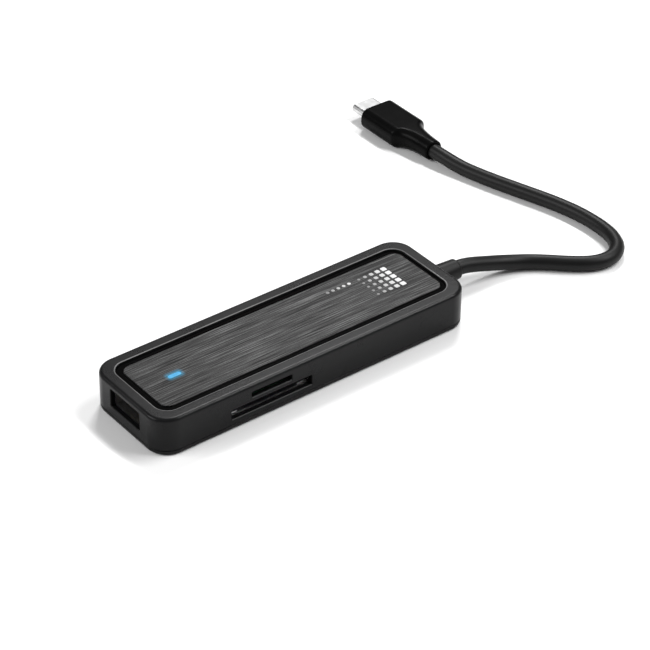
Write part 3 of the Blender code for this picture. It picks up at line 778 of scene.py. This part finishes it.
def strip_leaf(name, width, thickness, profile):
    """A bent strip: its middle line follows (y, z) points and its width runs along X."""
    bm = bmesh.new()
    points = [Vector((0, y, z)) for y, z in profile]
    rows = []
    for number, point in enumerate(points):
        before, after = points[max(number - 1, 0)], points[min(number + 1, len(points) - 1)]
        along = (after - before).normalized()
        across = Vector((0, -along.z, along.y)) * thickness / 2
        corners = ((-1, 1), (1, 1), (1, -1), (-1, -1))
        places = [point + Vector((side * width / 2, 0, 0)) + across * up for side, up in corners]
        rows.append([bm.verts.new(place) for place in places])
    for row, following in zip(rows, rows[1:]):
        for i in range(4):
            j = (i + 1) % 4
            bm.faces.new((row[i], row[j], following[j], following[i]))
    bm.faces.new(rows[0])
    bm.faces.new(rows[-1])
    return mesh_object(name, bm)


def make_usb_a(name, matrix, steel, nylon, gold):
    """A receptacle. It is made with its mouth at the origin and facing -Y, then put in place by matrix."""
    wide, deep, high = 13.1 * MM, 13.0 * MM, 5.7 * MM
    half = Vector((wide / 2, deep, high / 2))
    shell = block(
        f"{name}_can", (-half.x, 0, -half.z), half,
        axis="Y", corner=0.7 * MM, steps=8, bottom=0.05 * MM, edge_steps=2,
    )  # fmt: skip
    inside = Vector((half.x - SHEET, deep - SHEET, half.z - SHEET))
    cut(shell, block("inside", (-inside.x, -MM, -inside.z), inside, axis="Y", corner=0.45 * MM, steps=8))
    wall = half.z - SHEET / 2
    profile = [(8.6, 0), (7.6, 0.01), (6.4, 0.11), (5.0, 0.28), (4.2, 0.33), (3.5, 0.30), (2.8, 0.12)]
    for x in (-3.1 * MM, 3.1 * MM):
        for side in (-1, 1):
            ends = sorted((side * (half.z - SHEET - 0.2 * MM), side * (half.z + MM)))
            cut(shell, block("slot", (x - 1.4 * MM, 2.4 * MM, ends[0]), (x + 1.4 * MM, 8.0 * MM, ends[1])))
            line = [(y * MM, side * (wall - dip * MM)) for y, dip in profile]
            join(shell, moved(strip_leaf("leaf", 2.1 * MM, 0.24 * MM, line), Matrix.Translation((x, 0, 0))))
    piece(moved(shell, matrix), steel, [f"{name}_shell"])

    edge = SHEET + 0.1 * MM
    body_low = (-half.x + edge, deep - 3 * MM, -half.z + edge)
    body = block(f"{name}_insulator", body_low, (half.x - edge, deep - edge, half.z - edge))
    blade = block(
        "blade", (-5.55 * MM, 1.2 * MM, 0.1 * MM), (5.55 * MM, deep - 2.5 * MM, 1.94 * MM),
        axis="Y", corner=0.2 * MM, steps=4, bottom=0.25 * MM, edge_steps=3,
    )  # fmt: skip
    join(body, blade)
    piece(moved(body, matrix), nylon, [f"{name}_tongue"])

    contacts = []
    for x in (-3.5, -1.0, 1.0, 3.5):
        low, high = ((x - 0.5) * MM, 2.3 * MM, 0.05 * MM), ((x + 0.5) * MM, 8.5 * MM, 0.12 * MM)
        contacts.append(block("contact", low, high, top=0.02 * MM, edge_steps=1))
    for x in (-4.0, -2.0, 0.0, 2.0, 4.0):
        line = [(9.4 * MM, 0.06 * MM), (9.1 * MM, -0.28 * MM), (8.8 * MM, -0.28 * MM), (8.65 * MM, 0.02 * MM)]
        spring = strip_leaf("spring", 0.6 * MM, 0.1 * MM, line)
        contacts.append(moved(spring, Matrix.Translation((x * MM, 0, 0))))
    piece(moved(gather(f"{name}_contacts", contacts), matrix), gold)


def make_usb_c(name, matrix, steel, nylon, gold):
    """A receptacle, placed as make_usb_a does: a drawn can, and a tongue with contacts on both faces."""
    wide, deep, high = 8.94 * MM, 7.3 * MM, 3.2 * MM
    half = Vector((wide / 2, deep, high / 2))
    can = block(
        f"{name}_can", (-half.x, 0, -half.z), half,
        axis="Y", corner=1.55 * MM, steps=16, bottom=0.06 * MM, edge_steps=3,
    )  # fmt: skip
    inside = Vector((half.x - SHEET, deep - SHEET, half.z - SHEET))
    cut(can, block("inside", (-inside.x, -MM, -inside.z), inside, axis="Y", corner=1.27 * MM, steps=16))
    piece(moved(can, matrix), steel, [f"{name}_shell"])
    edge = SHEET + 0.1 * MM
    tongue = block(
        f"{name}_insulator", (-half.x + edge, deep - 2 * MM, -half.z + edge),
        (half.x - edge, deep - edge, half.z - edge), axis="Y", corner=1.15 * MM, steps=12,
    )  # fmt: skip
    blade = block(
        "blade", (-3.35 * MM, 0.9 * MM, -0.35 * MM), (3.35 * MM, deep - 1.5 * MM, 0.35 * MM),
        axis="Y", corner=0.1 * MM, steps=3, bottom=0.12 * MM, edge_steps=3,
    )  # fmt: skip
    join(tongue, blade)
    piece(moved(tongue, matrix), nylon, [f"{name}_tongue"])
    contacts = []
    for side in (-1, 1):
        for number in range(12):
            x = (number - 5.5) * 0.5 * MM
            ends = sorted((side * 0.33 * MM, side * 0.38 * MM))
            low, high = (x - 0.13 * MM, 1.5 * MM, ends[0]), (x + 0.13 * MM, 4.9 * MM, ends[1])
            contacts.append(block("contact", low, high))
    piece(moved(gather(f"{name}_contacts", contacts), matrix), gold)


def make_ports(steel, nylon, gold):
    low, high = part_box("usb_a_front_shell")
    middle = (low + high) / 2
    make_usb_a("usb_a_front", facing(-90, (low.x, middle.y, middle.z)), steel, nylon, gold)
    for name, make in (("usb_a_side", make_usb_a), ("usb_c_side", make_usb_c)):
        low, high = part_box(f"{name}_shell")
        middle = (low + high) / 2
        make(name, facing(180, (middle.x, high.y, middle.z)), steel, nylon, gold)


def make_sd_cover(steel):
    """The full-size card socket's folded cover, with a lip, a bead, an arm and three tabs in its mouth."""
    low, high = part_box("sd_socket_shell")
    cover = block("sd_socket_cover", low, high, axis="Y", corner=0.15 * MM, steps=3)
    side = Vector((THIN_SHEET, 0, 0))
    inside_low = Vector((low.x, low.y - MM, low.z + THIN_SHEET)) + side
    cut(cover, block("inside", inside_low, Vector((high.x, high.y + MM, high.z + 5 * MM)) - side))
    middle = (low.x + high.x) / 2
    for x in (middle - 6 * MM, middle + 6 * MM):
        slot_high = (x + 1.5 * MM, low.y + 18 * MM, low.z + MM)
        cut(cover, block("slot", (x - 1.5 * MM, low.y + 6 * MM, low.z - MM), slot_high))
    front, floor = low.y, low.z + THIN_SHEET
    lip = block(
        "lip", (low.x + 0.3 * MM, front, low.z + 0.04 * MM),
        (high.x - 0.3 * MM, front + 0.2 * MM, floor + 0.22 * MM), axis="X", corner=0.02 * MM, steps=4,
    )  # fmt: skip
    bead = block(
        "bead", (low.x + 5.85 * MM, front, floor), (low.x + 6.2 * MM, front + 0.3 * MM, floor + 0.36 * MM),
        axis="X", corner=0.08 * MM, steps=6,
    )  # fmt: skip
    arm = block(
        "arm", (high.x - 4.7 * MM, front + 0.12 * MM, floor + 0.7 * MM),
        (high.x - 0.1 * MM, front + 0.22 * MM, floor + 0.82 * MM),
    )  # fmt: skip
    tab_shapes = (
        (low.x + 1.95 * MM, 3.7, 0.14),
        (high.x - 3.85 * MM, 1.6, 0.05),
        (high.x - 4.55 * MM, 0.3, 0.14),
    )
    tabs = []
    height = floor + 0.78 * MM
    for x, wide, rise in tab_shapes:
        line = [
            (front + (0.12 - rise / 6) * MM, height - rise * MM / 2),
            (front + (0.12 + rise / 6) * MM, height + rise * MM / 2),
        ]
        tabs.append(moved(strip_leaf("tab", wide * MM, 0.08 * MM, line), Matrix.Translation((x, 0, 0))))
    join(cover, lip, bead, arm, *tabs)
    piece(cover, steel, ["sd_socket_shell"])


def make_microsd_cover(steel):
    low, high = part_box("microsd_socket_shell")
    cover = block("microsd_socket_cover", low, high, axis="Y", corner=0.15 * MM, steps=3)
    side = Vector((THIN_SHEET, 0, 0))
    inside_high = Vector((high.x, high.y + MM, high.z - THIN_SHEET)) - side
    cut(cover, block("inside", Vector((low.x, low.y - MM, low.z - 5 * MM)) + side, inside_high))
    middle = (low.x + high.x) / 2
    window_low = (middle - 3 * MM, low.y + 3 * MM, high.z - MM)
    window_high = (middle + 3 * MM, low.y + 9 * MM, high.z + MM)
    cut(cover, block("window", window_low, window_high, corner=0.6 * MM))
    piece(cover, steel, ["microsd_socket_shell"])


def card_contacts(name, node, count, pitch, height, length, gold, aside=0.0):
    """Bowed contact springs in a row that point at a card socket's mouth, aside towards +X of its middle."""
    low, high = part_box(node)
    middle = (low.x + high.x) / 2 + aside
    springs = []
    for number in range(count):
        x = middle + (number - (count - 1) / 2) * pitch
        line = [(0.0, 0.0), (0.25, 0.03), (0.6, 0.35), (0.78, 0.42), (0.9, 0.36), (1.0, 0.12)]
        profile = [(high.y - 3 * MM - share * length, height[0] + rise * height[1]) for share, rise in line]
        spring = strip_leaf("spring", 0.55 * MM, 0.12 * MM, profile)
        springs.append(moved(spring, Matrix.Translation((x, 0, 0))))
    piece(gather(name, springs), gold)


def make_spring(steel):
    """The small socket's return spring, built at rest; in the real socket it closes up as the slider moves
    in.
    """
    low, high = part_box("microsd_spring")
    wire = 0.08 * MM
    centre = (low + high) / 2
    radius = (high.z - low.z) / 2 - wire
    turns, per_turn = 9, 20
    length = high.y - low.y - 2 * wire
    points = []
    for step in range(turns * per_turn + 1):
        angle = math.tau * step / per_turn
        along = low.y + wire + length * step / (turns * per_turn)
        points.append((centre.x + radius * math.cos(angle), along, centre.z + radius * math.sin(angle)))
    coil = tube("return_spring", points, wire, resolution=2)
    graph = bpy.context.evaluated_depsgraph_get()
    mesh = bpy.data.meshes.new_from_object(coil.evaluated_get(graph))
    bpy.data.objects.remove(coil)
    spring = bpy.data.objects.new("return_spring", mesh)
    bpy.context.scene.collection.objects.link(spring)
    piece(spring, steel, ["microsd_spring"])
    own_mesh(spring)


def make_relief(jacket):
    """The sleeve in the case's end wall. The cable comes out of its rounded, hollow end."""
    low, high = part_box("strain_relief")
    middle = Vector((low.x, (low.y + high.y) / 2, (low.z + high.z) / 2))
    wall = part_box("housing")[1].x
    end, root = high.x - low.x, wall - low.x
    bore = CABLE_RADIUS + 0.06 * MM
    flange, flange_end, waist = 3.95 * MM, 1.35 * MM, 3.2 * MM
    profile = [(0, 0), (flange, 0), (flange, flange_end), (waist, flange_end), (waist, root + 0.3 * MM)]
    tip, rounding = 2.85 * MM, 0.55 * MM
    for step in range(9):
        angle = math.radians(90) * step / 8
        radius = tip - rounding + rounding * math.cos(angle)
        profile.append((radius, end - rounding + rounding * math.sin(angle)))
    profile += [(bore + 0.08 * MM, end), (bore, end - 0.1 * MM), (bore, end - 1.8 * MM), (0, end - 1.8 * MM)]
    relief = lathe("strain_relief_sleeve", profile, 72)
    moved(relief, Matrix.Translation(middle) @ TURNS["X"].to_4x4())
    return piece(relief, jacket, ["strain_relief"])


def make_grip(grip_material):
    """The plug's grip: a boot that flares into a squared body. The cable enters its hollow end.

    The rows are (place along the plug, half width, half height, corner), in millimetres.
    """
    low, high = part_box("plug_overmould")
    centre = Vector(((low.x + high.x) / 2, low.y, (low.z + high.z) / 2))
    front = high.y - low.y
    outline = [
        Vector(values)
        for values in (
            (0.35, 3.0, 3.0, 3.0),
            (2.4, 3.12, 3.05, 3.0),
            (4.5, 3.25, 3.1, 3.0),
            (7.2, 3.55, 3.18, 2.9),
            (9.2, 4.05, 3.22, 2.8),
            (10.6, 4.75, 3.24, 2.75),
            (11.4, 5.6, 3.25, 2.7),
            (11.9, 6.05, 3.25, 2.7),
            (12.6, 6.15, 3.25, 2.7),
        )
    ]
    sections = smooth_line(outline, 5)
    mouth = [
        (along, radius, radius, radius)
        for along, radius in ((1.4, 2.2), (0.15, 2.2), (0.0, 2.35), (0.0, 2.65), (0.1, 2.86))
    ]
    end = front / MM
    nose = [
        (end - 0.45, 6.15, 3.25, 2.7),
        (end - 0.2, 6.11, 3.21, 2.66),
        (end - 0.05, 6.0, 3.1, 2.55),
        (end, 5.85, 2.95, 2.4),
    ]
    rings = [
        rounded_ring(wide * MM, tall * MM, corner * MM, along * MM)
        for along, wide, tall, corner in (*mouth, *sections, *nose)
    ]
    grip = moved(loft("plug_grip", rings), Matrix.Translation(centre))
    shell_low, shell_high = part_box("plug_shell")
    pocket_high = Vector((shell_high.x, high.y + MM, shell_high.z))
    pocket = grown((shell_low, pocket_high), (0.03 * MM, 0.0, 0.03 * MM))
    cut(grip, block("pocket", *pocket, axis="Y", corner=1.2 * MM, steps=16))
    return piece(grip, grip_material, ["plug_overmould"], sharp=40.0)


def make_plug_shell(steel, nylon, gold):
    low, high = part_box("plug_shell")
    shell = block("plug_sleeve", low, high, axis="Y", corner=1.17 * MM, steps=16, top=0.12 * MM, edge_steps=4)
    inside = grown((low + Vector((0, 0.25 * MM, 0)), high + Vector((0, MM, 0))), (-0.25 * MM, 0, -0.25 * MM))
    cut(shell, block("inside", *inside, axis="Y", corner=0.93 * MM, steps=16))
    shell = piece(shell, steel, ["plug_shell"])
    low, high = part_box("plug_insert")
    insert = block("plug_core", low, high, axis="Y", corner=0.8 * MM, steps=10)
    centre = (low + high) / 2
    slot_low = Vector((centre.x - 3.45 * MM, high.y - 5.1 * MM, centre.z - 0.42 * MM))
    slot_high = Vector((centre.x + 3.45 * MM, high.y + MM, centre.z + 0.42 * MM))
    cut(insert, block("slot", slot_low, slot_high))
    insert = piece(insert, nylon, ["plug_insert"])
    contacts = []
    for side in (-1, 1):
        for number in range(12):
            x = centre.x + (number - 5.5) * 0.5 * MM
            line = [(-4.6, 0.37), (-2.4, 0.33), (-1.4, 0.25), (-0.9, 0.28), (-0.6, 0.37)]
            profile = [(high.y + along * MM, centre.z + side * rise * MM) for along, rise in line]
            contact = strip_leaf("contact", 0.26 * MM, 0.08 * MM, profile)
            contacts.append(moved(contact, Matrix.Translation((x, 0, 0))))
    contacts = piece(gather("plug_contacts", contacts), gold)
    return [shell, insert, contacts]


def finish_inner_nodes(steel, nylon):
    """Materials for the CAD nodes that stay: the board, what stands on it, and the sockets' mouldings."""
    finishes = {
        "circuit_board": circuit_board(),
        "screw_steel": sheet_metal("screw_steel", grey(0.55), 0.25, 0.5),
        "connector_steel": steel,
        "connector_nylon": nylon,
        "led_package": moulded("led_package", (0.8, 0.78, 0.66), 0.3, 0.5),
        "slider_nylon": moulded("slider_nylon", (0.55, 0.52, 0.42)),
        "chip_package": moulded("chip_package", (0.018, 0.018, 0.02), 0.35, 0.55, 0.08 * MM),
        "ferrite": moulded("ferrite", (0.05, 0.05, 0.055), 0.5, 0.8, 0.15 * MM, 0.02 * MM),
        "capacitor_case": moulded("capacitor_case", (0.55, 0.28, 0.05), 0.35, 0.5),
        "cable_jacket": moulded("inner_jacket", grey(0.014)),
        "wire_red": moulded("wire_red", (0.45, 0.02, 0.02), 0.35, 0.5),
        "wire_black": moulded("wire_black", grey(0.02), 0.35, 0.5),
        "wire_green": moulded("wire_green", (0.02, 0.25, 0.06), 0.35, 0.5),
        "wire_white": moulded("wire_white", grey(0.6), 0.35, 0.5),
    }
    for part in frame["record"]["subparts"]:
        node = frame["nodes"][part["node"]]
        if not node.hide_render:
            node.data.materials.clear()
            node.data.materials.append(finishes[part["material_slot"]])


def area_light(name, place, size, power, along=(0, 0, 1)):
    """A softbox at place that faces the case. Its second size lies as near as it can to along."""
    data = bpy.data.lights.new(name, "AREA")
    data.shape = "RECTANGLE"
    data.size, data.size_y = size
    data.energy = power
    light = bpy.data.objects.new(name, data)
    bpy.context.scene.collection.objects.link(light)
    light.location = place
    back = (Vector(place) - Vector((0.03, 0.0, 0.0))).normalized()
    side = Vector(along).cross(back).normalized()
    light.rotation_euler = Matrix((side, back.cross(side), back)).transposed().to_euler()


def make_stage():
    bm = bmesh.new()
    bmesh.ops.create_grid(bm, x_segments=1, y_segments=1, size=4.0)
    floor = mesh_object("floor", bm)
    floor.location.z = -0.02 * MM
    floor.data.materials.append(floor_paper())
    world = bpy.data.worlds.new("studio")
    world.use_nodes = True
    background = world.node_tree.nodes["Background"]
    background.inputs["Color"].default_value = (1.0, 1.0, 1.0, 1.0)
    background.inputs["Strength"].default_value = 0.15
    bpy.context.scene.world = world
    area_light("key", (0.6, 0.6, 0.97), (0.3, 0.3), 9.5)
    area_light("right_strip", (0.66, -0.4, 1.0), (0.12, 1.0), 12.5, along=(0, -0.95, -0.3))
    area_light("overhead", (-0.25, 0.0, 1.3), (1.6, 1.6), 1.4)
    area_light("left_side", (-0.95, 0.42, 0.72), (0.8, 0.4), 9)
    bpy.context.scene.view_settings.view_transform = "Standard"


def main():
    make_camera()
    jacket = cable_jacket()
    cable = make_cable(jacket)
    plastic = case_plastic()
    steel = sheet_metal("connector_steel", grey(0.58))
    gold = sheet_metal("contact_gold", (0.83, 0.58, 0.24), 0.18, 0.3)
    nylon = moulded("connector_nylon", grey(0.009), specular=0.25)
    # painted_shade_case_inside is the case plastic darkened as painted shade for the openings; the chamfer
    # material's lighter colour is a painted highlight.
    make_housing(plastic, moulded("painted_shade_case_inside", grey(0.0025), 0.5, 0.7, specular=0.1), painted_highlight_edge())
    make_base(plastic)
    make_trim(gloss_trim(), panel_metal(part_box("light_pipe")), blue_light())
    make_mark(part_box("top_panel")[1])
    make_ports(steel, nylon, gold)
    make_sd_cover(steel)
    make_microsd_cover(steel)
    card_contacts("sd_contacts", "sd_socket_body", 9, 2.5 * MM, (5.4 * MM, -2.2 * MM), 6 * MM, gold)
    card_contacts(
        "microsd_contacts", "microsd_socket_body", 8, 1.05 * MM, (7.45 * MM, 1.0 * MM), 4 * MM, gold,
        aside=CONTACTS_ASIDE,
    )  # fmt: skip
    make_spring(steel)
    relief = make_relief(jacket)
    grip = make_grip(moulded("plug_grip", grey(0.0030), 0.22, 0.32, 0.25 * MM, 0.003 * MM, 0.035))
    plug = make_plug_shell(steel, nylon, gold)
    finish_inner_nodes(steel, nylon)
    make_stage()


main()
